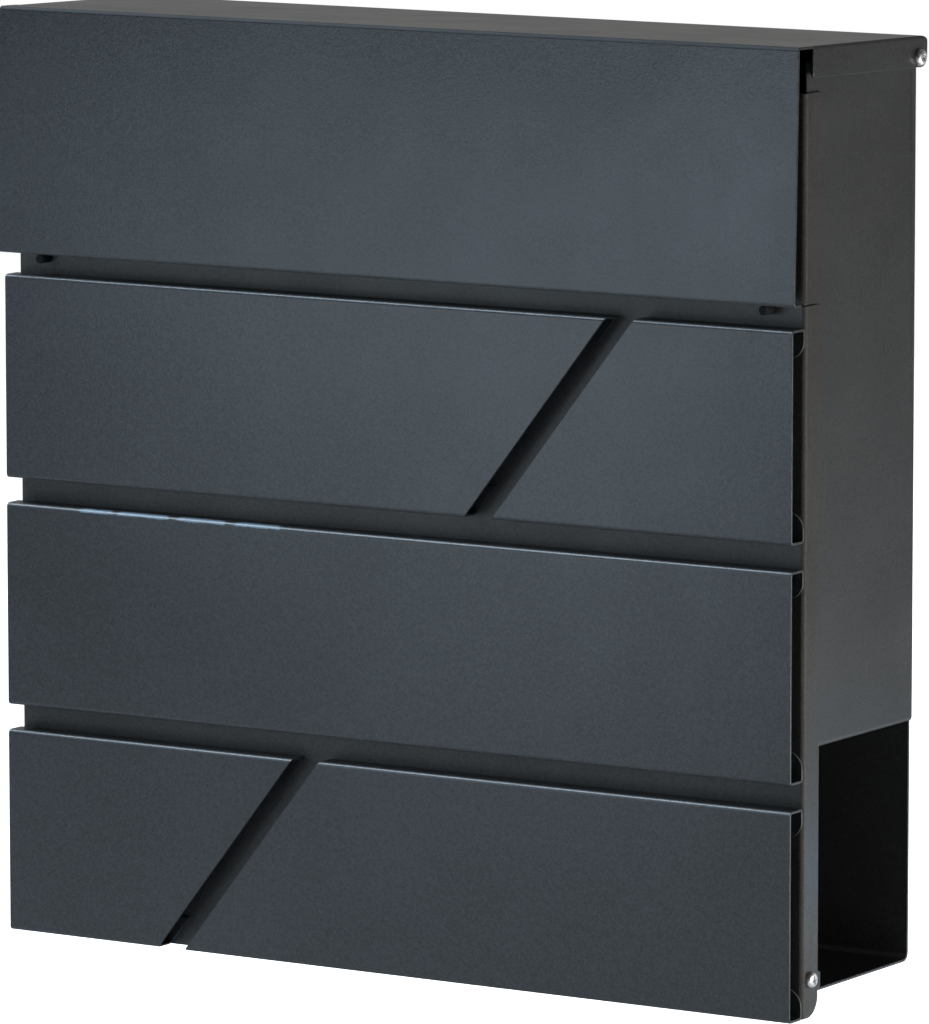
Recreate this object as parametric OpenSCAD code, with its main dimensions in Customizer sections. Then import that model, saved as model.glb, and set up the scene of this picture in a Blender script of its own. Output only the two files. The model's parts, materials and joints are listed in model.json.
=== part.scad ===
// Wall mounted mailbox in folded sheet steel: a casing with an open newspaper
// shelf below the letter compartment, a lifting lid with a front flap, a front
// door that drops open on two screws, and a cam lock hidden behind the flap.
// +Z is up and the front faces -Y. The origin is the centre of the four wall
// screw holes, on the wall plane.

/* [Front] */
// Width of the door and of the decorative panels
door_w = 370; // [340:1:400]
// Height of one row of decorative panels
row_h = 83.6; // [75:0.1:90]
// Bare strip between two rows of panels
row_gap = 10.3; // [6:0.1:14]
// Depth of a decorative panel in front of the door
panel_d = 10; // [9:0.5:14]
// Bare strip between two panels of one row, across the slanted cut
slant_gap = 10; // [6:0.5:14]
// Sideways run of the slanted cut over one row
slant_run = 65.5; // [40:0.5:80]

/* [Casing] */
// Distance from the wall to the face of the decorative panels
depth = 105; // [95:1:140]
// Distance from the wall to the back panel
standoff = 6; // [5:0.5:8]
// Thickness of the sheet steel
sheet_t = 1; // [0.8:0.1:1.2]
// Height of the newspaper shelf above the bottom of the door
shelf_z = 8.7; // [7:0.1:9]
// Height of the letter compartment's floor above the bottom of the door
floor_z = 105.5; // [80:0.5:130]
// Height of the front header above the bottom of the door
header_top_z = 362; // [355:1:364]

/* [Lid] */
// Width of the lid
lid_w = 374; // [372:1:404]
// Length of the flap, from the lid's top to its lower edge
flap_h = 100.2; // [98:0.1:101]
// Angle by which the closed lid stands up at the front
lid_tilt = 1.5; // [0:0.1:2]
// Depth of the hem at the flap's lower edge
hem_d = 6; // [4:0.5:7]

/* [Wall fixing] */
// Sideways distance between the wall screws
wall_pitch_x = 220; // [160:5:280]
// Upwards distance between the wall screws
wall_pitch_z = 280; // [240:5:290]
// Diameter of a wall screw hole
wall_hole_d = 6.5; // [5:0.5:8]

/* [Hidden] */

$fn = 48;
eps = 0.01;

paint = "#3a4045";        // anthracite powder coat
inner_paint = "#2c2f32";
steel = "#c9ccd0";
brass = "#b9a56a";
rubber = "#17181a";
nylon = "#e6e6e0";

// Levels, counted from the bottom edge of the door
wall_mid_z = 200;                       // centre of the wall screws
z0 = -wall_mid_z;                       // bottom edge of the door
door_top_z = 279.8;
header_bottom_z = 280.3;
casing_top_z = 374;

// Depths, counted from the wall plane
y_panel = -depth;                       // face of the decorative panels
y_door = y_panel + panel_d;             // face of the door
y_back = -standoff;                     // rear face of the back panel
fit_gap = 0.3;                          // between the door and the casing's front
y_front = y_door + sheet_t + fit_gap;   // front of the casing's sides
header_t = sheet_t + fit_gap;

// Half widths, outside faces
door_x = door_w / 2;
side_x = door_x - 1.5;                  // casing sides, inside the door's flanges
back_x = side_x - sheet_t;              // back panel, between the sides
header_x = side_x + header_t;
lid_x = lid_w / 2;

flange_d = 12.3;                        // depth of the door's side flanges
flange_r = 8;                           // lower rear corner of those flanges
bend_r = 1.2;                           // bend radius at the middle of the sheet
bend_steps = 5;

// Pivots: depth and level of the axes, which lie along X
door_pivot_y = y_panel + 16;
door_pivot_z = z0 + 15;
lid_pivot_y = -10.4;
lid_pivot_z = z0 + 370;

// Pivot hardware
screw_r = 1.5;
screw_hole_r = 1.55;
screw_head_r = 3.3;
screw_head_h = 2.2;
nut_flats = 5.5;
nut_h = 2.4;
washer_r = 4;
play = 0.15;                            // sideways play under a head or washer
bumper_r = 1.9;

// Lid, before it is tilted: distances from its pivot
lid_rise = 8.2;                         // top face above the pivot
lid_drop = 4;                           // lower edge of the side flanges below the pivot
lid_reach = 94.4;                       // face of the flap ahead of the pivot
lid_tail = 4.9;                         // top sheet behind the pivot
flange_tail = 6.9;                      // side flanges behind the pivot
flange_start = 11.5;                    // side flanges begin this far behind the flap's face

// Lock
lock_z = z0 + 306;
lock_face_y = y_door - 2.5;
lock_rear_y = y_door + 14;
cam_y = lock_rear_y + 0.4;
cam_t = 2;
cam_len = 36;
cam_w = 12;
plug_r = 5.95;
tail_r = 3.5;

// Letter slot
slot_back_y = y_panel + 62;

// ---------- shape helpers ----------

function left_of(v) = [-v[1], v[0]];
function unit(v) = v / norm(v);
function heading(v) = atan2(v[1], v[0]);
function turn(a, b) = let (d = heading(b) - heading(a)) d > 180 ? d - 360 : d < -180 ? d + 360 : d;
function reversed(list) = [for (i = [len(list) - 1 : -1 : 0]) list[i]];

// One side of a bent sheet whose middle line runs through pts
function sheet_side(pts, r, k) = [
    pts[0] + left_of(unit(pts[1] - pts[0])) * k,
    for (i = [1 : 1 : len(pts) - 2])
        let (a = unit(pts[i] - pts[i - 1]),
             b = unit(pts[i + 1] - pts[i]),
             bend = turn(a, b),
             s = sign(bend),
             centre = pts[i] - a * r * tan(abs(bend) / 2) + left_of(a) * s * r)
        for (j = [0 : bend_steps])
            let (h = heading(a) + bend * j / bend_steps)
            centre - left_of([cos(h), sin(h)]) * s * (r - s * k),
    pts[len(pts) - 1] + left_of(unit(pts[len(pts) - 1] - pts[len(pts) - 2])) * k
];

// Section of a sheet of thickness t, bent along a middle line
module sheet_section(pts, t = sheet_t, r = bend_r)
    polygon(concat(sheet_side(pts, r, t / 2), reversed(sheet_side(pts, r, -t / 2))));

// Extrudes a section drawn in depth and height along X, from x1 to x2
module along_x(x1, x2)
    translate([x1, 0, 0]) rotate([90, 0, 90]) linear_extrude(x2 - x1) children();

// Extrudes an outline drawn in width and height along Y, from y1 to y2
module along_y(y1, y2)
    translate([0, y2, 0]) rotate([90, 0, 0]) linear_extrude(y2 - y1) children();

// Extrudes a plan drawn in width and depth along Z, from z1 to z2
module along_z(z1, z2)
    translate([0, 0, z1]) linear_extrude(z2 - z1) children();

// A rod along X, from x1 to x2
module rod_x(x1, x2, r)
    translate([x1, 0, 0]) rotate([0, 90, 0]) cylinder(h = x2 - x1, r = r);

// A rod along Y, from y1 to y2
module rod_y(y1, y2, r)
    translate([0, y1, 0]) rotate([-90, 0, 0]) cylinder(h = y2 - y1, r = r);

// The waste outside a rounded corner: dy and dz are -1 or 1 and point outwards
module corner_waste_x(y, z, r, dy, dz)
    translate([-lid_w, y - dy * r, z - dz * r]) difference() {
        translate([0, dy > 0 ? 0 : -r - 1, dz > 0 ? 0 : -r - 1]) cube([2 * lid_w, r + 1, r + 1]);
        rotate([0, 90, 0]) cylinder(h = 2 * lid_w, r = r);
    }

// Mirrors its children onto the left when side is -1
module on_side(side) {
    if (side < 0) mirror([1, 0, 0]) children();
    else children();
}

// ---------- casing ----------

// Pressed standoff around one wall screw hole, pointing at the wall
module wall_boss() {
    hole_r = wall_hole_d / 2;
    front = y_back - sheet_t;
    rotate([-90, 0, 0]) rotate_extrude()
        polygon([[hole_r, -sheet_t], [8.2, -sheet_t], [14.2, front], [16, front],
                 [16, y_back], [15, y_back], [9, 0], [hole_r, 0]]);
}

module at_wall_holes()
    for (x = [-1, 1], z = [-1, 1])
        translate([x * wall_pitch_x / 2, 0, z * wall_pitch_z / 2]) children();

// Upright ear at a front corner of the shelf, which carries the door's pivot
module shelf_ear() {
    shelf = z0 + shelf_z + 0.3;
    front = shelf_front();
    foot = front + 2.6;
    along_x(back_x - sheet_t, back_x)
        polygon([[door_pivot_y, door_pivot_z - 4.5], [front, shelf], [foot, shelf],
                 [foot, shelf + 7], [door_pivot_y, door_pivot_z + 4.5]]);
    translate([0, door_pivot_y, door_pivot_z]) rod_x(back_x - sheet_t, back_x, 4.5);
}

function shelf_front() = y_panel + 26;

// Back of the casing and newspaper shelf, bent from one sheet
module back_panel() color(inner_paint) {
    mid_y = y_back - sheet_t / 2;
    mid_z = z0 + shelf_z + sheet_t / 2;
    difference() {
        union() {
            difference() {
                along_x(-back_x, back_x)
                    sheet_section([[shelf_front(), mid_z], [mid_y, mid_z],
                                   [mid_y, z0 + casing_top_z]], r = 3);
                at_wall_holes() rod_y(-20, 1, 15.5);
            }
            at_wall_holes() wall_boss();
            for (s = [-1, 1]) on_side(s) shelf_ear();
        }
        translate([0, door_pivot_y, door_pivot_z]) rod_x(-lid_w, lid_w, screw_hole_r);
    }
}

// Both sides and the floor of the letter compartment, with turned-in front edges
module casing_sides() color(paint) {
    x = side_x - sheet_t / 2;
    y = y_front + sheet_t / 2;
    lip_w = 9;
    edge_y = y_front + bend_r + sheet_t / 2;
    difference() {
        union() {
            along_y(edge_y, y_back)
                sheet_section([[-x, z0 + casing_top_z], [-x, z0 + floor_z + sheet_t / 2],
                               [x, z0 + floor_z + sheet_t / 2], [x, z0 + casing_top_z]]);
            for (s = [-1, 1]) on_side(s)
                along_z(z0 + floor_z + 3, z0 + header_top_z)
                    sheet_section([[side_x - lip_w, y], [x, y], [x, edge_y + 1]]);
        }
        // the back panel stands in this slot
        translate([-back_x, y_back - sheet_t, z0 + floor_z - 1])
            cube([2 * back_x, sheet_t + 1, 5]);
        translate([0, lid_pivot_y, lid_pivot_z]) rod_x(-lid_w, lid_w, screw_hole_r);
    }
}

// Rear part of the top, whose turned-down front edge guides the letters
module top_plate() color(inner_paint) {
    top = z0 + casing_top_z - sheet_t / 2;
    along_x(-back_x, back_x)
        sheet_section([[y_back - sheet_t, top], [slot_back_y, top],
                       [slot_back_y - 8, top - 22]]);
}

// Fixed front above the door: it carries the lock and is hidden by the flap
module front_header() color(paint) {
    x = header_x - header_t / 2;
    y = y_door + header_t / 2;
    lip_x = side_x - 12;
    difference() {
        union() {
            along_z(z0 + header_bottom_z, z0 + header_top_z)
                sheet_section([[-x, y_door + flange_d], [-x, y], [x, y],
                               [x, y_door + flange_d]], t = header_t);
            along_x(-lip_x, lip_x)
                sheet_section([[y, z0 + header_top_z - 12],
                               [y, z0 + header_top_z - header_t / 2],
                               [y_door + flange_d, z0 + header_top_z - header_t / 2]],
                              t = header_t);
        }
        translate([0, 0, lock_z]) rod_y(y_door - 1, y_door + 5, 8);
    }
}

// ---------- pivot hardware, drawn on the right-hand side ----------

// Pan-head screw with a cross recess, along X with its head outside
module pivot_screw(head_x, tip_x) color(steel) difference() {
    union() {
        rod_x(tip_x, head_x + eps, screw_r);
        translate([head_x, 0, 0]) rotate([0, 90, 0]) rotate_extrude()
            polygon(concat([[0, 0], [screw_head_r, 0]],
                           [for (a = [0 : 15 : 75])
                               [screw_head_r - 1.6 * (1 - cos(a)),
                                screw_head_h * (0.25 + 0.75 * sin(a))]],
                           [[0, screw_head_h]]));
    }
    for (a = [0, 90])
        translate([head_x + screw_head_h + 0.1, 0, 0]) rotate([a, 0, 0])
            translate([-1.3, -0.45, -1.75]) cube([3, 0.9, 3.5]);
}

module pivot_washer(x1, x2) color(nylon) difference() {
    rod_x(x1, x2, washer_r);
    rod_x(x1 - 1, x2 + 1, screw_hole_r);
}

// Hexagon nut welded on the inside, with its flats level
module pivot_nut(x) color(steel) difference() {
    translate([x - nut_h, 0, 0]) rotate([0, 90, 0]) rotate([0, 0, 30])
        cylinder(h = nut_h, d = nut_flats / cos(30), $fn = 6);
    rod_x(x - nut_h - 1, x + 1, screw_r);
}

module at_lid_pivot(side)
    on_side(side) translate([0, lid_pivot_y, lid_pivot_z]) children();

module at_door_pivot(side)
    on_side(side) translate([0, door_pivot_y, door_pivot_z]) children();

module lid_screw(side) at_lid_pivot(side)
    pivot_screw(lid_x + play, side_x - sheet_t - nut_h - 1);

module lid_washer(side) at_lid_pivot(side)
    pivot_washer(side_x, lid_x - sheet_t - play);

module lid_nut(side) at_lid_pivot(side) pivot_nut(side_x - sheet_t);

module door_screw(side) at_door_pivot(side)
    pivot_screw(door_x + play, back_x - sheet_t - nut_h - 1);

module door_washer(side) at_door_pivot(side)
    pivot_washer(back_x, door_x - sheet_t - play);

module door_nut(side) at_door_pivot(side) pivot_nut(back_x - sheet_t);

// ---------- lock ----------

module lock_barrel() color(steel) translate([0, 0, lock_z]) difference() {
    union() {
        rod_y(lock_face_y, y_door, 10);
        rod_y(y_door, lock_rear_y, 7.9);
    }
    rod_y(lock_face_y - 1, lock_rear_y + 1, 6);
}

module lock_nut() color(brass) translate([0, 0, lock_z]) difference() {
    translate([0, y_front, 0]) rotate([-90, 0, 0])
        cylinder(h = 3.5, d = 20 / cos(30), $fn = 6);
    rod_y(y_front - 1, y_front + 5, 8);
}

module lock_plug() color(brass) translate([0, 0, lock_z]) difference() {
    union() {
        rod_y(lock_face_y - 0.4, lock_rear_y + 0.3, plug_r);
        rod_y(lock_rear_y, cam_y + cam_t, tail_r);
    }
    translate([-0.7, lock_face_y - 1, -4]) cube([1.4, 6, 8]);
    rod_y(lock_rear_y - 6, cam_y + cam_t + 1, screw_r);
}

// Cam, pointing sideways while the lock is open
module lock_cam() color(steel) translate([0, 0, lock_z]) difference() {
    union() {
        rod_y(cam_y, cam_y + cam_t, 8);
        translate([0, cam_y, -cam_w / 2]) cube([cam_len - 4, cam_t, cam_w]);
        translate([cam_len - 4 - eps, cam_y, -cam_w / 2 + 2]) cube([4, cam_t, cam_w - 4]);
    }
    rod_y(cam_y - 1, cam_y + cam_t + 1, tail_r);
}

module cam_screw() color(steel) translate([0, 0, lock_z]) {
    rod_y(cam_y + cam_t, cam_y + cam_t + 2.2, 4.5);
    rod_y(lock_rear_y - 5, cam_y + cam_t + eps, screw_r);
}

// Bracket inside the door's top edge: the cam drops through its slot
module lock_keeper() color(inner_paint) {
    y1 = y_door + sheet_t;
    top = z0 + 276.4;
    difference() {
        along_x(-20, 38)
            sheet_section([[y1 + 0.5, z0 + 256], [y1 + 0.5, top], [y1 + 22, top]]);
        translate([-9, cam_y - 1.5, top - 5]) cube([38, cam_t + 3, 10]);
    }
}

// ---------- door ----------

module door_panel() color(paint) {
    x = door_x - sheet_t / 2;
    y = y_door + sheet_t / 2;
    rear = y_door + flange_d;
    lip_x = side_x - 12;
    top = z0 + door_top_z;
    difference() {
        union() {
            along_z(z0, top)
                sheet_section([[-x, rear], [-x, y], [x, y], [x, rear]]);
            along_x(-lip_x, lip_x)
                sheet_section([[y, top - 12], [y, top - sheet_t / 2],
                               [y + 8, top - sheet_t / 2]]);
        }
        corner_waste_x(rear, z0, flange_r, 1, -1);
        corner_waste_x(rear, top, 1.5, 1, 1);
        translate([0, door_pivot_y, door_pivot_z]) rod_x(-lid_w, lid_w, screw_hole_r);
    }
}

// Level of the lower edge of a row of panels, counted from the bottom row
function row_z(row) = z0 + row * (row_h + row_gap);

// The waste outside the rounded free corner of a lip
module lip_waste(x, z, dx, dz) {
    r = 7;
    translate([x - dx * r, 0, z - dz * r]) difference() {
        translate([dx > 0 ? 0 : -r - 1, y_door - 1.5, dz > 0 ? 0 : -r - 1])
            cube([r + 1, 2, r + 1]);
        rod_y(y_door - 3, y_door + 3, r);
    }
}

// One decorative channel over the full width, with lips welded to the door
module channel(row) {
    lip_h = 12;
    z1 = row_z(row);
    z2 = z1 + row_h;
    half = sheet_t / 2;
    difference() {
        along_x(-door_x, door_x)
            sheet_section([[y_door - half, z1 + lip_h], [y_door - half, z1 + half],
                           [y_panel + half, z1 + half], [y_panel + half, z2 - half],
                           [y_door - half, z2 - half], [y_door - half, z2 - lip_h]]);
        for (s = [-1, 1]) {
            lip_waste(s * door_x, z1 + lip_h, s, 1);
            lip_waste(s * door_x, z2 - lip_h, s, -1);
        }
    }
}

// Sideways width of the gap between two slanted ends
function slant_w() = slant_gap * norm([slant_run, row_h]) / row_h;

// What lies left of a slanted cut that meets the row's lower edge at x
module left_of_cut(row, x) {
    lean = slant_run / row_h;
    z1 = row_z(row) - 1;
    z2 = row_z(row) + row_h + 1;
    along_y(y_panel - 1, y_door + 1)
        polygon([[-door_x - 1, z1], [x - lean, z1], [x + lean * (row_h + 1), z2],
                 [-door_x - 1, z2]]);
}

module panel_left(row, x) color(paint) intersection() {
    channel(row);
    left_of_cut(row, x);
}

module panel_right(row, x) color(paint) difference() {
    channel(row);
    left_of_cut(row, x + slant_w());
}

upper_cut_x = 35.5;                     // where the cuts meet their row's lower edge
lower_cut_x = -111.5;

// Rubber stop under the flap's hem, on the face of the door
module bumper(side) color(rubber)
    on_side(side) translate([door_x - 15, 0, z0 + door_top_z + 0.2 - bumper_r])
        rod_y(y_door - 7, y_door, bumper_r);

// ---------- lid ----------

// The lid in the plane of its pivot, before it is tilted
module flat_lid() {
    half = sheet_t / 2;
    front = -lid_reach;
    flange_x = lid_x - 2.5;
    difference() {
        union() {
            along_x(-lid_x, lid_x)
                sheet_section([[lid_tail, lid_rise - half], [front + half, lid_rise - half],
                               [front + half, lid_rise - flap_h + half],
                               [front + hem_d, lid_rise - flap_h + half]]);
            for (s = [-1, 1]) on_side(s)
                along_y(front + flange_start, flange_tail)
                    sheet_section([[flange_x, lid_rise - half], [lid_x - half, lid_rise - half],
                                   [lid_x - half, -lid_drop]]);
        }
        // room for the side bends
        for (s = [-1, 1]) on_side(s) translate([flange_x + 0.5, front + flange_start, 0])
            difference() {
                cube([5, lid_reach + lid_tail, lid_rise + 1]);
                translate([-flange_x - 0.5, -1, 0]) along_y(-1, lid_reach + 20)
                    polygon(concat(
                        sheet_side([[0, lid_rise - half], [lid_x - half, lid_rise - half],
                                    [lid_x - half, -lid_drop]], bend_r, half),
                        [[0, -lid_drop]]));
            }
        // strip between the two side flanges behind the top sheet
        translate([-flange_x - 0.5, lid_tail, 0]) cube([2 * flange_x + 1, 5, lid_rise + 1]);
        corner_waste_x(flange_tail, -lid_drop, 4.5, 1, -1);
        corner_waste_x(front + flange_start, -lid_drop, 1.5, -1, -1);
        corner_waste_x(flange_tail, lid_rise, 2.5, 1, 1);
        rod_x(-lid_w, lid_w, screw_hole_r);
    }
}

module lid_panel() color(paint)
    translate([0, lid_pivot_y, lid_pivot_z]) rotate([-lid_tilt, 0, 0]) flat_lid();

// ---------- nodes ----------

back_panel();
casing_sides();
top_plate();
front_header();
lid_screw(-1);  // lid_screw_left
lid_screw(1);  // lid_screw_right
lid_washer(-1);  // lid_washer_left
lid_washer(1);  // lid_washer_right
lid_nut(-1);  // lid_nut_left
lid_nut(1);  // lid_nut_right
door_screw(-1);  // door_screw_left
door_screw(1);  // door_screw_right
door_washer(-1);  // door_washer_left
door_washer(1);  // door_washer_right
door_nut(-1);  // door_nut_left
door_nut(1);  // door_nut_right
lock_barrel();
lock_nut();
lock_plug();
lock_cam();
cam_screw();
door_panel();
panel_left(2, upper_cut_x);  // panel_upper_left
panel_right(2, upper_cut_x);  // panel_upper_right
color(paint) channel(1);  // panel_middle
panel_left(0, lower_cut_x);  // panel_lower_left
panel_right(0, lower_cut_x);  // panel_lower_right
lock_keeper();
bumper(-1);  // bumper_left
bumper(1);  // bumper_right
lid_panel();
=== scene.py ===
"""Looks of the wall mounted mailbox: camera, studio, materials and the small detailed pieces.

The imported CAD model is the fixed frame. Everything is in metres, +Z up, with the wall at y = 0
and the front of the mailbox facing -Y. Sizes below are in millimetres unless they say otherwise.
"""

import json
import math

import bmesh
import bpy
from mathutils import Matrix, Vector


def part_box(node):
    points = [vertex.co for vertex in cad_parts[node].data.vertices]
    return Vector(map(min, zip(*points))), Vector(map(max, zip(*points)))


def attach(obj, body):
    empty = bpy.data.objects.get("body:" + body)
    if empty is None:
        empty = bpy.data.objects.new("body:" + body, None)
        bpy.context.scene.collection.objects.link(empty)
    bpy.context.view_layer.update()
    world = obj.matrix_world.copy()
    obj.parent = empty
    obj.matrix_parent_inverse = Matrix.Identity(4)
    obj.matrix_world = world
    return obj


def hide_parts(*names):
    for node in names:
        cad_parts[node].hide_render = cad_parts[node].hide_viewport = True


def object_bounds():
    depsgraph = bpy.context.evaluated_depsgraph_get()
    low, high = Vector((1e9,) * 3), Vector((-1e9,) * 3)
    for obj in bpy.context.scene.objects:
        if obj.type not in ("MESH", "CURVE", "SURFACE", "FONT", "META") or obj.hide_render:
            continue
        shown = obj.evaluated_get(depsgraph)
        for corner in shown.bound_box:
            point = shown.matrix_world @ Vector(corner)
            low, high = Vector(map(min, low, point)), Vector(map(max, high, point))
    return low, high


MM = 0.001
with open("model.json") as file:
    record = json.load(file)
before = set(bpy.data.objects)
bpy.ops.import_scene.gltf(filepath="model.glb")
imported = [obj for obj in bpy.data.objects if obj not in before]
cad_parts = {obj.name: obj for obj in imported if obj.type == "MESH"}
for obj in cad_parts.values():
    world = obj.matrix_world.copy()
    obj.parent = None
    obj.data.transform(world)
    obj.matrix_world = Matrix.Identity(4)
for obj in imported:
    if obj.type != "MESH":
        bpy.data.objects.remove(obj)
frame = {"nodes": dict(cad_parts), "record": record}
cad_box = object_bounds()
nodes = frame["nodes"]
lowest_z = cad_box[0][2]

# ---------- camera ----------

# Its place is in metres. Right and up are the picture's own directions, as unit vectors.
CAMERA_AT = Vector((1.80908, -2.92078, 0.46119))
CAMERA_RIGHT = Vector((0.846268, 0.532757, -0.000611))
CAMERA_UP = Vector((-0.074173, 0.118959, 0.990125))
SENSOR = 36.0
FOCAL_LENGTH = 299.25
CLIP_END = 60


def make_camera():
    camera = bpy.data.cameras.new("camera")
    camera.sensor_width = SENSOR
    camera.lens = FOCAL_LENGTH
    camera.clip_end = CLIP_END
    seat = bpy.data.objects.new("camera", camera)
    back = CAMERA_RIGHT.cross(CAMERA_UP)
    turn = Matrix((CAMERA_RIGHT, CAMERA_UP, back)).transposed()
    seat.matrix_world = Matrix.Translation(CAMERA_AT) @ turn.to_4x4()
    bpy.context.scene.collection.objects.link(seat)
    bpy.context.scene.camera = seat


make_camera()
bpy.context.scene.view_settings.view_transform = "Standard"

# ---------- shader helpers ----------

# A Mix node has its colours at these places among its sockets.
MIX_AMOUNT, MIX_A, MIX_B, MIX_RESULT = 0, 6, 7, 2


class Shader:
    """A node material whose nodes are made by short calls."""

    def __init__(self, name):
        self.material = bpy.data.materials.new(name)
        self.material.use_nodes = True
        self.tree = self.material.node_tree
        self.surface = self.tree.nodes["Principled BSDF"]
        coordinates = self.node("ShaderNodeTexCoord").outputs
        self.place, self.facing = coordinates["Object"], coordinates["Normal"]

    def node(self, kind, **settings):
        made = self.tree.nodes.new(kind)
        for key, value in settings.items():
            setattr(made, key, value)
        return made

    def feed(self, socket, value):
        if isinstance(value, bpy.types.NodeSocket):
            self.tree.links.new(value, socket)
        else:
            socket.default_value = value

    def set(self, **values):
        for key, value in values.items():
            self.feed(self.surface.inputs[key.replace("_", " ")], value)

    def noise(self, size_mm, detail, roughness):
        """Noise whose features are about size_mm across, from 0 to 1."""
        made = self.node("ShaderNodeTexNoise")
        self.feed(made.inputs["Vector"], self.place)
        made.inputs["Scale"].default_value = 1 / (size_mm * MM)
        made.inputs["Detail"].default_value = detail
        made.inputs["Roughness"].default_value = roughness
        return made.outputs["Fac"]

    def cells(self, size_mm):
        """One random grey value for each cell about size_mm across."""
        made = self.node("ShaderNodeTexVoronoi")
        self.feed(made.inputs["Vector"], self.place)
        made.inputs["Scale"].default_value = 1 / (size_mm * MM)
        split = self.node("ShaderNodeSeparateColor")
        self.feed(split.inputs[0], made.outputs["Color"])
        return split.outputs[0]

    def math(self, operation, a, b):
        made = self.node("ShaderNodeMath", operation=operation)
        self.feed(made.inputs[0], a)
        self.feed(made.inputs[1], b)
        return made.outputs[0]

    def span(self, value, low_in, high_in, low_out=0.0, high_out=1.0):
        """Carries a value smoothly from one range to another and holds it at the ends."""
        made = self.node("ShaderNodeMapRange", interpolation_type="SMOOTHSTEP")
        for socket, number in zip(made.inputs, (value, low_in, high_in, low_out, high_out)):
            self.feed(socket, number)
        return made.outputs[0]

    def mix(self, amount, a, b):
        made = self.node("ShaderNodeMix", data_type="RGBA")
        self.feed(made.inputs[MIX_AMOUNT], amount)
        self.feed(made.inputs[MIX_A], a)
        self.feed(made.inputs[MIX_B], b)
        return made.outputs[MIX_RESULT]

    def axes(self):
        split = self.node("ShaderNodeSeparateXYZ")
        self.feed(split.inputs[0], self.place)
        return split.outputs

    def normal_part(self, axis):
        """How far the surface faces along X, Y or Z (0, 1 or 2), from -1 to 1."""
        split = self.node("ShaderNodeSeparateXYZ")
        self.feed(split.inputs[0], self.facing)
        return split.outputs[axis]

    def bump(self, height, depth_mm, under=None):
        made = self.node("ShaderNodeBump")
        made.inputs["Distance"].default_value = depth_mm * MM
        self.feed(made.inputs["Height"], height)
        if under is not None:
            self.feed(made.inputs["Normal"], under)
        return made.outputs[0]


def grey(value):
    return (value, value, value, 1.0)


def times(tone, factor):
    """A tone made lighter or darker."""
    return tuple(c * factor for c in tone[:3]) + (1.0,)


# ---------- materials ----------

# Sizes of the coat's marks, and how far its orange peel and grain stand up.
CLOUD, MOTTLE, GRAIN, FLECK, PEEL, HANDLING = 90, 3.0, 0.9, 0.35, 1.9, 35
PEEL_DEPTH, GRAIN_DEPTH = 0.04, 0.05
# The darkest and lightest shade and the flecks' shade, as factors of the tone.
COAT_SHADES = (0.55, 1.6)
FLECK_SHADE, FLECK_COVER = 3, 0.3
COAT_ROUGHNESS = (0.30, 0.35)
COAT_SPECULAR = 0.42
BEND_DULLING = 0.05
# How much lighter the tone is on upper bends: a painted highlight along the bends.
BEND_HIGHLIGHT_LIFT = 3.0
UNDERSIDE_DULLING = 0.3
WHITE = (1.0, 1.0, 1.0, 1.0)


def powder_coat(name, tone, film=False, front_dulling=0.0, corner_dulling=0.0,
                bend_dulling=BEND_DULLING, bend_highlight_lift=BEND_HIGHLIGHT_LIFT, tint=WHITE):
    """Satin powder coat: orange peel, fine grain, faint metallic flecks and soft handling marks.

    The dullings add roughness where the surface faces forward, at corners that turn to +X and at
    upper bends. The bend highlight lift is a painted highlight: how much lighter the tone is on the
    upper bends.
    """
    s = Shader(name)
    cloud = s.noise(CLOUD, 3, 0.55)
    mottle = s.noise(MOTTLE, 3, 0.6)
    grain = s.noise(GRAIN, 1, 0.6)
    shade = s.math("ADD", s.math("MULTIPLY", cloud, 0.25),
                   s.math("ADD", s.math("MULTIPLY", mottle, 0.2), s.math("MULTIPLY", grain, 0.55)))
    darkest, lightest = (times(tone, factor) for factor in COAT_SHADES)
    colour = s.mix(s.span(shade, 0.35, 0.65), darkest, lightest)
    fleck = s.span(s.cells(FLECK), 0.9, 1.0)
    colour = s.mix(s.math("MULTIPLY", fleck, FLECK_COVER), colour, times(tone, FLECK_SHADE))
    rough = s.span(s.noise(HANDLING, 4, 0.6), 0.3, 0.7, *COAT_ROUGHNESS)
    sideways, forward, upward = (s.normal_part(axis) for axis in range(3))
    rough = s.math("ADD", rough, s.span(forward, -0.15, -0.6, 0.0, front_dulling))
    bend = s.math("MULTIPLY", s.span(upward, 0.1, 0.5), s.span(upward, 0.999, 0.97))
    rough = s.math("ADD", rough, s.math("MULTIPLY", bend, bend_dulling))
    corner = s.math("MULTIPLY", s.span(sideways, 0.1, 0.5), s.span(sideways, 0.9995, 0.98))
    rough = s.math("ADD", rough, s.math("MULTIPLY", corner, corner_dulling))
    rough = s.math("ADD", rough, s.span(upward, -0.2, -0.7, 0.0, UNDERSIDE_DULLING))
    # Painted highlight: the upper bends get a lighter tone than the rest of the coat.
    colour = s.mix(bend, colour, times(tone, bend_highlight_lift))
    if film:
        colour = s.mix(film_mask(s), colour, FILM_TONE)
    peel = s.bump(s.noise(PEEL, 2, 0.5), PEEL_DEPTH)
    fine = s.bump(grain, GRAIN_DEPTH, peel)
    s.set(Base_Color=colour, Roughness=rough, Normal=fine)
    s.set(Specular_IOR_Level=COAT_SPECULAR, Specular_Tint=tint)
    return s.material


# Where each patch of film starts and stops along the channel, how far it reaches down the front
# and back over the bend, how ragged its edges are, and how much of the coat it hides.
FILM_PATCHES = ((36, 52.5), (54, 80), (83, 107), (112, 134))
FILM_DROP, FILM_DEPTH = 1.3, 3.2
FILM_TEAR = 3.0
FILM_COVER = 0.9


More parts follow.
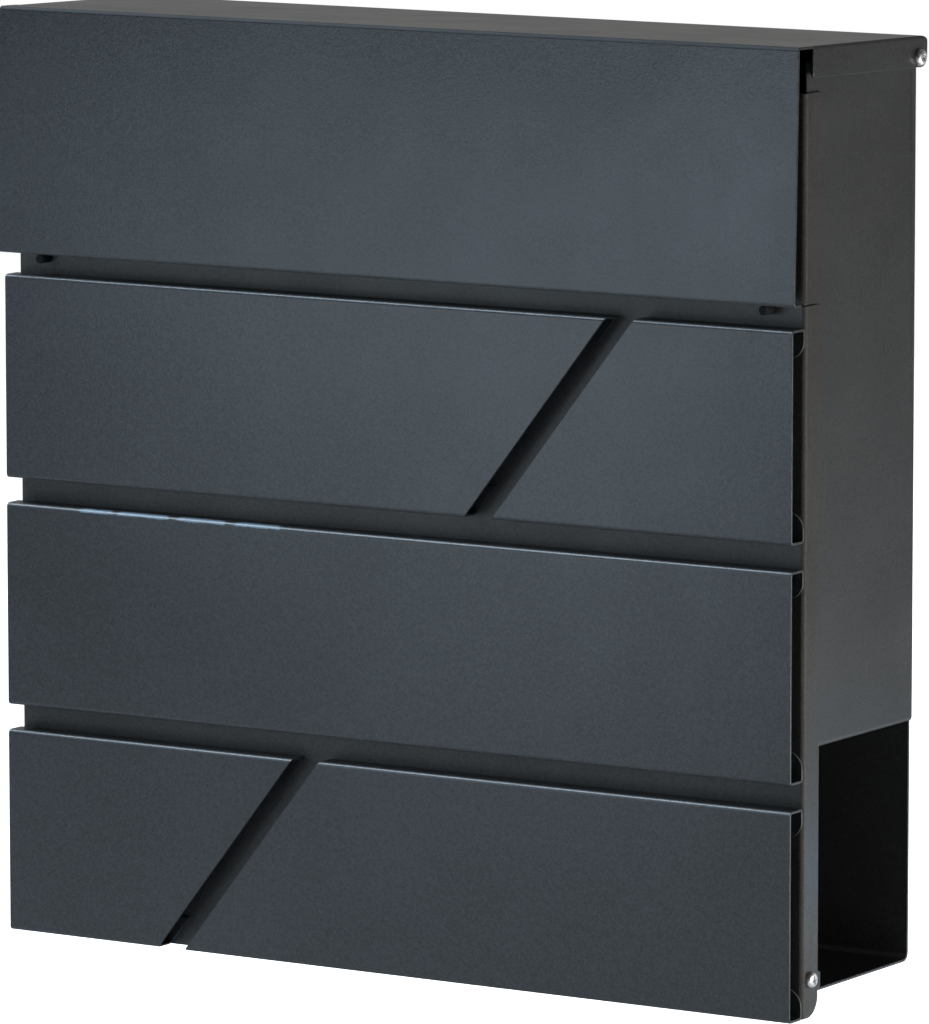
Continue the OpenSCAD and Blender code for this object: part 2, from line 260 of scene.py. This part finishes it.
def film_mask(s):
    """Ragged remains of a protective film on the middle channel's upper bend and the flange behind it."""
    corner_low, corner_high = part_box("panel_middle")
    x, y, z = s.axes()
    ragged = s.math("MULTIPLY", s.math("SUBTRACT", s.noise(6, 4, 0.65), 0.5), FILM_TEAR * MM)
    height = s.math("SUBTRACT", z, corner_high.z - FILM_DROP * MM)
    height = s.math("ADD", height, s.math("MULTIPLY", ragged, 0.4))
    depth = s.math("SUBTRACT", y, corner_low.y + FILM_DEPTH * MM)
    depth = s.math("ADD", depth, s.math("MULTIPLY", ragged, 1.6))
    mask = s.math("MULTIPLY", s.span(height, -0.2 * MM, 0.2 * MM), s.span(depth, 1.2 * MM, -1.2 * MM))
    along = 0.0
    for start, stop in FILM_PATCHES:
        inside = s.math("MINIMUM", s.math("SUBTRACT", x, corner_low.x + start * MM),
                        s.math("SUBTRACT", corner_low.x + stop * MM, x))
        slanted = s.math("SUBTRACT", inside, s.math("MULTIPLY", s.math("SUBTRACT", y, corner_low.y), 0.6))
        along = s.math("MAXIMUM", s.span(s.math("ADD", slanted, ragged), -1.0 * MM, 1.5 * MM), along)
    return s.math("MULTIPLY", s.math("MULTIPLY", mask, along), FILM_COVER)


def plated_metal(name, tone, roughness, grain_mm=0.25):
    """Plated or turned metal with fine marks and duller patches."""
    s = Shader(name)
    blotch = s.noise(2.0, 4, 0.6)
    colour = s.mix(s.span(blotch, 0.35, 0.7), tone, times(tone, 0.72))
    rough = s.span(s.noise(1.1, 4, 0.7), 0.3, 0.7, roughness - 0.07, roughness + 0.12)
    s.set(Base_Color=colour, Roughness=rough, Normal=s.bump(s.noise(grain_mm, 3, 0.6), 0.006))
    s.set(Metallic=1.0)
    return s.material


def moulded(name, tone, roughness, grain_mm=0.3, depth_mm=0.02, specular=0.5):
    """Moulded rubber or plastic with a fine skin."""
    s = Shader(name)
    colour = s.mix(s.span(s.noise(3, 3, 0.6), 0.3, 0.7), tone, times(tone, 1.35))
    rough = s.span(s.noise(1.5, 3, 0.6), 0.3, 0.7, roughness - 0.06, roughness + 0.06)
    s.set(Base_Color=colour, Roughness=rough, Normal=s.bump(s.noise(grain_mm, 3, 0.6), depth_mm),
          Specular_IOR_Level=specular)
    return s.material


COAT_TONE = (0.0145, 0.0158, 0.0168, 1.0)
FILM_TONE = (0.15, 0.195, 0.24, 1.0)
coat = powder_coat("powder_coat", COAT_TONE)
lid_coat = powder_coat("powder_coat_lid", COAT_TONE, bend_dulling=0.4, bend_highlight_lift=1.0)
coat_with_film = powder_coat("powder_coat_with_film", COAT_TONE, film=True)
duller_coat = powder_coat("powder_coat_duller", (0.0155, 0.0155, 0.0150, 1.0), front_dulling=0.16,
                          corner_dulling=0.4, tint=(1.0, 0.97, 0.93, 1.0))
# Painted shade: the inner sheets get a darker tone than the outer coat, for the shade inside the mailbox.
inner_coat = powder_coat("inner_coat", (0.011, 0.0113, 0.0118, 1.0), front_dulling=0.1)
zinc = plated_metal("zinc_plate", (0.62, 0.63, 0.64, 1.0), 0.38)
nickel = plated_metal("satin_nickel", (0.50, 0.485, 0.455, 1.0), 0.36, 0.4)
brass = plated_metal("turned_brass", (0.72, 0.52, 0.22, 1.0), 0.30, 0.4)
rubber = moulded("black_rubber", (0.006, 0.006, 0.007, 1.0), 0.8, specular=0.15)
nylon = moulded("natural_nylon", (0.66, 0.64, 0.58, 1.0), 0.42, 0.8, 0.01)

NODE_MATERIALS = {
    "lid_panel": lid_coat,
    "panel_middle": coat_with_film,
    "door_panel": duller_coat,
    "front_header": duller_coat,
    "back_panel": inner_coat,
    "top_plate": inner_coat,
    "lock_keeper": inner_coat,
    "lock_barrel": nickel,
    "lock_plug": nickel,
    "lock_nut": brass,
    "lock_cam": zinc,
    "cam_screw": zinc,
    "bumper_left": rubber,
    "bumper_right": rubber,
}


def material_of(node):
    if node in NODE_MATERIALS:
        return NODE_MATERIALS[node]
    if "washer" in node:
        return nylon
    if "screw" in node or "nut" in node:
        return zinc
    return coat


# ---------- finishing of the CAD nodes ----------

WELD_DISTANCE = 0.002
EDGE_ROUNDING = 0.18
ROUNDING_STEPS = 2
SHARP_EDGE = math.radians(32)
FACE_WEIGHT = 60


def finish_node(node, obj):
    """Gives a CAD node its material and rounds its sharp edges a little.

    Only shading marks and modifiers change: its vertices and faces stay as they are.
    """
    mesh = obj.data
    mesh.materials.clear()
    mesh.materials.append(material_of(node))
    for layer in ("custom_normal", "sharp_edge", "sharp_face"):
        if layer in mesh.attributes:
            mesh.attributes.remove(mesh.attributes[layer])
    mesh.shade_smooth()
    weld = obj.modifiers.new("weld", "WELD")
    weld.merge_threshold = WELD_DISTANCE * MM
    bevel = obj.modifiers.new("bevel", "BEVEL")
    bevel.width = EDGE_ROUNDING * MM
    bevel.segments = ROUNDING_STEPS
    bevel.limit_method = "ANGLE"
    bevel.angle_limit = SHARP_EDGE
    bevel.use_clamp_overlap = False
    bevel.miter_outer = "MITER_ARC"
    normal = obj.modifiers.new("normal", "WEIGHTED_NORMAL")
    normal.mode = "FACE_AREA"
    normal.weight = FACE_WEIGHT


for node_name, node_object in nodes.items():
    finish_node(node_name, node_object)

# ---------- detailed small pieces ----------

BODY_OF = {n: body for body, members in frame["record"]["behaviour"]["bodies"].items() for n in members}


def node_centre(node):
    """Middle of a node's box."""
    corner_low, corner_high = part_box(node)
    return (corner_low + corner_high) / 2


def turn_to(axis):
    """The turn that takes +Z to an axis."""
    return Vector((0, 0, 1)).rotation_difference(Vector(axis)).to_matrix().to_4x4()


def stand_for(node, shells, axis, origin):
    """Makes one object from (vertices, faces) shells drawn along +Z in millimetres, in place of a node."""
    mesh = bpy.data.meshes.new(node + "_detail")
    points, faces = [], []
    for shell_points, shell_faces in shells:
        faces += [tuple(i + len(points) for i in face) for face in shell_faces]
        points += shell_points
    mesh.from_pydata([Vector(p) * MM for p in points], [], faces)
    mesh.materials.append(material_of(node))
    mesh.shade_smooth()
    obj = bpy.data.objects.new(node + "_detail", mesh)
    bpy.context.scene.collection.objects.link(obj)
    mesh.transform(Matrix.Translation(origin) @ turn_to(axis))
    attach(obj, BODY_OF[node])
    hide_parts(node)
    return obj


def circle(radius, z, count):
    """Points of one ring about +Z."""
    turns = (2 * math.pi * k / count for k in range(count))
    return [(radius * math.cos(turn), radius * math.sin(turn), z) for turn in turns]


def ring_faces(rings, count):
    """Quads between consecutive rings of count points each."""
    return [(a * count + b, a * count + (b + 1) % count,
             (a + 1) * count + (b + 1) % count, (a + 1) * count + b)
            for a in range(rings - 1) for b in range(count)]


def end_faces(rings, count):
    """The two polygons that close a tube made of rings."""
    last = (rings - 1) * count
    return [tuple(reversed(range(count))), tuple(range(last, last + count))]


def turned(profile, count=64, radius_at=None):
    """A closed shell turned about +Z from (radius, height) points.

    A profile that ends where it starts makes a ring. Any other gets flat ends. Outward faces need
    the profile to run upward on its outer side.
    """
    points = []
    for r, z in profile:
        for k in range(count):
            turn = 2 * math.pi * k / count
            here = radius_at(r, z, turn) if radius_at else (r, z)
            points.append((here[0] * math.cos(turn), here[0] * math.sin(turn), here[1]))
    faces = ring_faces(len(profile), count)
    if profile[-1] == profile[0]:
        last = (len(profile) - 1) * count
        faces = [tuple(i % last if i >= last else i for i in face) for face in faces]
        points = points[:last]
    else:
        faces += end_faces(len(profile), count)
    return points, faces


# A thread's depth as a share of its pitch, its steps to a turn, how much its crests are flattened,
# and the share of its depth that it starts with.
THREAD_DEPTH_SHARE = 0.54
THREAD_STEPS = 6
CREST_FLATTENING = 1.25
THREAD_START_SHARE = 0.3


def threaded_rod(radius, pitch, start, end, bore=0.0, count=32):
    """A rod or tube along +Z whose outside is a helical thread; its last turn tapers to the root."""
    depth = THREAD_DEPTH_SHARE * pitch
    rows = max(2, int((end - start) / pitch * THREAD_STEPS))
    points = []
    for a in range(rows + 1):
        z = start + (end - start) * a / rows
        fade = min(1.0, (end - z) / pitch, (z - start) / pitch + THREAD_START_SHARE)
        for b in range(count):
            phase = (z / pitch - b / count) % 1.0
            crest = 1 - abs(2 * phase - 1)
            r = radius - depth + depth * fade * min(1.0, CREST_FLATTENING * crest)
            points.append((r * math.cos(2 * math.pi * b / count), r * math.sin(2 * math.pi * b / count), z))
    faces = ring_faces(rows + 1, count)
    top = rows * count
    if bore == 0.0:
        return points, faces + end_faces(rows + 1, count)
    inner = len(points)
    points += circle(bore, start, count) + circle(bore, end, count)
    for b in range(count):
        c = (b + 1) % count
        faces += [(b, inner + b, inner + c, c), (inner + b, inner + count + b, inner + count + c, inner + c),
                  (top + c, inner + count + c, inner + count + b, top + b)]
    return points, faces


def cut(obj, cutters):
    """Takes closed shells, given in the object's own coordinates in metres, out of its mesh."""
    for points, faces in cutters:
        mesh = bpy.data.meshes.new("cutter")
        mesh.from_pydata(points, [], faces)
        tool = bpy.data.objects.new("cutter", mesh)
        bpy.context.scene.collection.objects.link(tool)
        boolean = obj.modifiers.new("cut", "BOOLEAN")
        boolean.object = tool
        boolean.solver = "EXACT"
        graph = bpy.context.evaluated_depsgraph_get()
        made = bpy.data.meshes.new_from_object(obj.evaluated_get(graph))
        obj.modifiers.clear()
        obj.data = made
        bpy.data.objects.remove(tool)


def add_shell(obj, points, faces, place):
    """Adds one more closed shell, in millimetres before place, to an object's mesh."""
    work = bmesh.new()
    work.from_mesh(obj.data)
    made = [work.verts.new(place @ (Vector(p) * MM)) for p in points]
    for face in faces:
        work.faces.new([made[i] for i in face]).smooth = True
    work.to_mesh(obj.data)
    work.free()


def soften(obj, width_mm, angle=35):
    """Rounds a detailed piece's sharp edges and evens its shading."""
    bevel = obj.modifiers.new("bevel", "BEVEL")
    bevel.width = width_mm * MM
    bevel.segments = ROUNDING_STEPS
    bevel.limit_method = "ANGLE"
    bevel.angle_limit = math.radians(angle)
    obj.modifiers.new("normal", "WEIGHTED_NORMAL").mode = "FACE_AREA"


def cross_recess(top, half_length, half_width, depth):
    """Two crossing wedges, tapered towards the bottom, for a screw's recess; +Z points out of the head."""
    shells = []
    levels = ((top + 0.4, 1.12 * half_length, half_width),
              (top - depth, 0.35 * half_length, 0.7 * half_width))
    for cos, sin in ((1, 0), (0, 1)):
        points = []
        for z, along, across in levels:
            for x, y in ((-1, -1), (1, -1), (1, 1), (-1, 1)):
                a, b = x * along, y * across
                points.append((a * cos - b * sin, a * sin + b * cos, z))
        sides = [(k, 4 + k, 4 + (k + 1) % 4, (k + 1) % 4) for k in range(4)]
        shells.append((points, [(0, 1, 2, 3), (7, 6, 5, 4)] + sides))
    return shells


HEAD_HEIGHT = 2.2
RIM_SHARE = 0.3
DOME_INSET = 1.5
FLAT_INSET = 2.4
HEAD_SEGMENTS = 64
SHANK_RADIUS, SHANK_PITCH = 1.5, 0.5
RECESS_HALF_LENGTH, RECESS_HALF_WIDTH, RECESS_DEPTH = 2.0, 0.46, 1.4
# How far each screw was turned when it was tightened, in degrees.
SCREW_TURN = {"lid_screw_left": 20, "lid_screw_right": 35, "door_screw_left": 62, "door_screw_right": 12}


def make_pivot_screw(node):
    """Pan-head screw with a cross recess and a real thread. The head is at the outer end.

    The head has a short upright rim, a dome that leans in by DOME_INSET, and a flat top.
    """
    corner_low, corner_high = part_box(node)
    side = 1 if corner_low.x > 0 else -1
    inner, outer = sorted((abs(corner_low.x), abs(corner_high.x)))
    centre = node_centre(node)
    head_r = (corner_high.z - corner_low.z) / 2 / MM
    dome = [(head_r, 0.0)]
    dome += [(head_r - DOME_INSET * (1 - math.cos(a)) - 0.02,
              HEAD_HEIGHT * (RIM_SHARE + (1 - RIM_SHARE) * math.sin(a)))
             for a in (math.radians(10 * k) for k in range(9))]
    dome += [(head_r - FLAT_INSET, HEAD_HEIGHT)]
    shank_length = (outer - inner) / MM - HEAD_HEIGHT
    shank_points, shank_faces = threaded_rod(SHANK_RADIUS, SHANK_PITCH, 0.0, shank_length)
    shank = [(x, y, -z) for x, y, z in shank_points]
    origin = Vector((side * (outer - HEAD_HEIGHT * MM), centre.y, centre.z))
    obj = stand_for(node, [turned(dome, HEAD_SEGMENTS)], (side, 0, 0), origin)
    place = Matrix.Translation(origin) @ turn_to((side, 0, 0))
    recess = cross_recess(HEAD_HEIGHT, RECESS_HALF_LENGTH, RECESS_HALF_WIDTH, RECESS_DEPTH)
    recess_place = place @ Matrix.Rotation(math.radians(SCREW_TURN[node]), 4, "Z")
    cut(obj, [([recess_place @ (Vector(q) * MM) for q in points], sides) for points, sides in recess])
    add_shell(obj, shank, [tuple(reversed(f)) for f in shank_faces], place)
    soften(obj, 0.08)


for screw in SCREW_TURN:
    make_pivot_screw(screw)


NUT_CHAMFER_SHARE = 0.97
# Width across flats, height and radius of the hole.
PIVOT_NUT = (5.5, 2.4, 1.42)
LOCK_NUT = (20.0, 3.5, 7.8)


def make_nut(node, axis, flats, height, bore):
    """Hexagon nut whose corners are chamfered at 30 degrees on both faces."""
    half = height / 2
    chamfer_r = flats / 2 * NUT_CHAMFER_SHARE
    flat_side = chamfer_r + 1.0
    loop = [(bore, -half), (chamfer_r, -half), (flat_side, -half), (flat_side, half),
            (chamfer_r, half), (bore, half), (bore, -half)]

    def shape(r, z, turn):
        if r < flat_side:
            return r, z
        from_flat = (turn + math.pi / 6) % (math.pi / 3) - math.pi / 6
        corner = flats / 2 / math.cos(from_flat)
        return corner, math.copysign(half - max(0.0, corner - chamfer_r) * math.tan(math.pi / 6), z)

    obj = stand_for(node, [turned(loop, 72, shape)], axis, node_centre(node))
    soften(obj, 0.06, 25)


for node_name in nodes:
    if node_name.endswith(("nut_left", "nut_right")):
        make_nut(node_name, (1, 0, 0), *PIVOT_NUT)
make_nut("lock_nut", (0, 1, 0), *LOCK_NUT)


def make_bumper(node):
    """Rubber stop: a short cylinder with a rounded nose and a shallow groove round its middle."""
    corner_low, corner_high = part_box(node)
    r = (corner_high.z - corner_low.z) / 2 / MM
    length = (corner_high.y - corner_low.y) / MM
    nose = [(r - 0.5 + 0.5 * math.sin(a), length - 0.5 + 0.5 * math.cos(a))
            for a in (math.radians(15 * k) for k in range(7))]
    profile = nose + [(r, length * 0.62), (r - 0.18, length * 0.58), (r - 0.18, length * 0.42),
                      (r, length * 0.38), (r, 0.0)]
    centre = node_centre(node)
    origin = Vector((centre.x, corner_high.y, centre.z))
    points, faces = turned([(r * 0.2, length)] + profile, 40)
    obj = stand_for(node, [(points, [tuple(reversed(f)) for f in faces])], (0, -1, 0), origin)
    soften(obj, 0.05)


for bumper in ("bumper_left", "bumper_right"):
    make_bumper(bumper)


BARREL_BORE = 6.02
COLLAR_HEIGHT = 2.5
# The collar's outline as (radius, height): a sunk lip, a groove in the face and a chamfered rim.
COLLAR = [(BARREL_BORE, 0.5), (6.55, 0.0), (7.6, 0.0), (7.8, 0.3), (8.3, 0.3), (8.5, 0.0), (9.3, 0.0),
          (10.0, 0.6), (10.0, COLLAR_HEIGHT), (BARREL_BORE, COLLAR_HEIGHT), (BARREL_BORE, 0.5)]
BARREL_RADIUS, BARREL_PITCH = 7.9, 1.0


def make_lock_barrel():
    """Lock barrel: a chamfered collar with a grooved face, and a fine thread behind the header."""
    corner_low, corner_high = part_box("lock_barrel")
    centre = node_centre("lock_barrel")
    length = (corner_high.y - corner_low.y) / MM
    origin = Vector((centre.x, corner_low.y, centre.z))
    thread = threaded_rod(BARREL_RADIUS, BARREL_PITCH, COLLAR_HEIGHT, length, BARREL_BORE, 64)
    obj = stand_for("lock_barrel", [turned(COLLAR), thread], (0, 1, 0), origin)
    soften(obj, 0.06, 40)


make_lock_barrel()

# ---------- studio ----------

FLOOR_GAP = 0.06
FLOOR_HALF = 2.2
FLOOR_GLOW = 0.9
# The direction of the brighter part of the room, and the two tones it fades between.
REAR_LEFT = Vector((-0.62, 0.76, 0.15))
ROOM_DIM = (0.03, 0.031, 0.033, 1.0)
ROOM_BRIGHT = (0.34, 0.33, 0.315, 1.0)


def make_floor():
    """A pale floor below the object, which looks white to the camera."""
    z = lowest_z - FLOOR_GAP
    mesh = bpy.data.meshes.new("floor")
    corners = [(x * FLOOR_HALF, y * FLOOR_HALF, z) for x, y in ((-1, -1), (1, -1), (1, 1), (-1, 1))]
    mesh.from_pydata(corners, [], [(0, 1, 2, 3)])
    floor = bpy.data.objects.new("floor", mesh)
    bpy.context.scene.collection.objects.link(floor)
    s = Shader("floor")
    s.set(Base_Color=grey(0.86), Roughness=0.9, Emission_Color=grey(1.0))
    seen = s.node("ShaderNodeLightPath").outputs["Is Camera Ray"]
    s.feed(s.surface.inputs["Emission Strength"], s.math("MULTIPLY", seen, FLOOR_GLOW))
    mesh.materials.append(s.material)


def area_light(name, at, towards, size, power, colour):
    """A softbox of size (width, height) in metres that faces a point and that the camera can't see."""
    lamp = bpy.data.lights.new(name, "AREA")
    lamp.shape = "RECTANGLE"
    lamp.size, lamp.size_y = size
    lamp.energy = power
    lamp.color = colour
    holder = bpy.data.objects.new(name, lamp)
    holder.location = at
    holder.rotation_euler = (Vector(towards) - Vector(at)).to_track_quat("-Z", "Y").to_euler()
    holder.visible_camera = False
    bpy.context.scene.collection.objects.link(holder)


def make_world():
    """White to the camera; for the light, a dim room whose rear left is brighter."""
    world = bpy.data.worlds.new("studio")
    bpy.context.scene.world = world
    world.use_nodes = True
    tree = world.node_tree
    tree.nodes.clear()

    def link(a, b):
        tree.links.new(a, b)

    direction = tree.nodes.new("ShaderNodeTexCoord").outputs["Generated"]
    rearward = tree.nodes.new("ShaderNodeVectorMath")
    rearward.operation = "DOT_PRODUCT"
    link(direction, rearward.inputs[0])
    rearward.inputs[1].default_value = REAR_LEFT.normalized()
    ramp = tree.nodes.new("ShaderNodeMapRange")
    ramp.interpolation_type = "SMOOTHSTEP"
    link(rearward.outputs["Value"], ramp.inputs["Value"])
    for socket, value in zip(ramp.inputs[1:5], (-0.1, 0.9, 0.0, 1.0)):
        socket.default_value = value
    mix = tree.nodes.new("ShaderNodeMix")
    mix.data_type = "RGBA"
    link(ramp.outputs[0], mix.inputs[MIX_AMOUNT])
    mix.inputs[MIX_A].default_value = ROOM_DIM
    mix.inputs[MIX_B].default_value = ROOM_BRIGHT
    room = tree.nodes.new("ShaderNodeBackground")
    link(mix.outputs[MIX_RESULT], room.inputs[0])
    backdrop = tree.nodes.new("ShaderNodeBackground")
    backdrop.inputs[0].default_value = grey(1.0)
    choose = tree.nodes.new("ShaderNodeMixShader")
    link(tree.nodes.new("ShaderNodeLightPath").outputs["Is Camera Ray"], choose.inputs[0])
    link(room.outputs[0], choose.inputs[1])
    link(backdrop.outputs[0], choose.inputs[2])
    link(choose.outputs[0], tree.nodes.new("ShaderNodeOutputWorld").inputs[0])


COOL = (0.83, 1.0, 1.16)
NEUTRAL = (1.03, 1.0, 0.97)
WARM = (1.06, 1.0, 0.93)
DEEP_BLUE = (0.3, 0.65, 1.0)
# Small soft lights that the front faces mirror: name, place, width and height, and power.
FRONT_BANK = (
    ("front_middle", (-0.295, -0.621, 0.046), (0.30, 0.26), 0.56),
    ("front_right", (-0.106, -0.741, 0.106), (0.17, 0.13), 0.40),
    ("front_left", (-0.486, -0.501, 0.106), (0.17, 0.13), 0.06),
    ("front_low", (-0.232, -0.661, -0.134), (0.17, 0.13), 0.15),
)
make_floor()
make_world()
area_light("key_light", (-0.95, -0.52, 1.55), (0, -0.1, 0), (0.8, 0.8), 41, COOL)
area_light("side_light", (0.85, 0.0, -0.21), (0.185, -0.05, 0.0), (0.6, 0.4), 13, WARM)
area_light("low_light", (0.42, 0.30, -0.225), (0.187, -0.1, -0.14), (0.12, 0.06), 0.04, DEEP_BLUE)
area_light("rear_light", (-0.1, 1.9, 0.0), (0, 0, 0), (1.2, 1.2), 5, NEUTRAL)
for lamp_name, place, size, power in FRONT_BANK:
    area_light(lamp_name, place, (0, -0.1, 0.06), size, power, COOL)
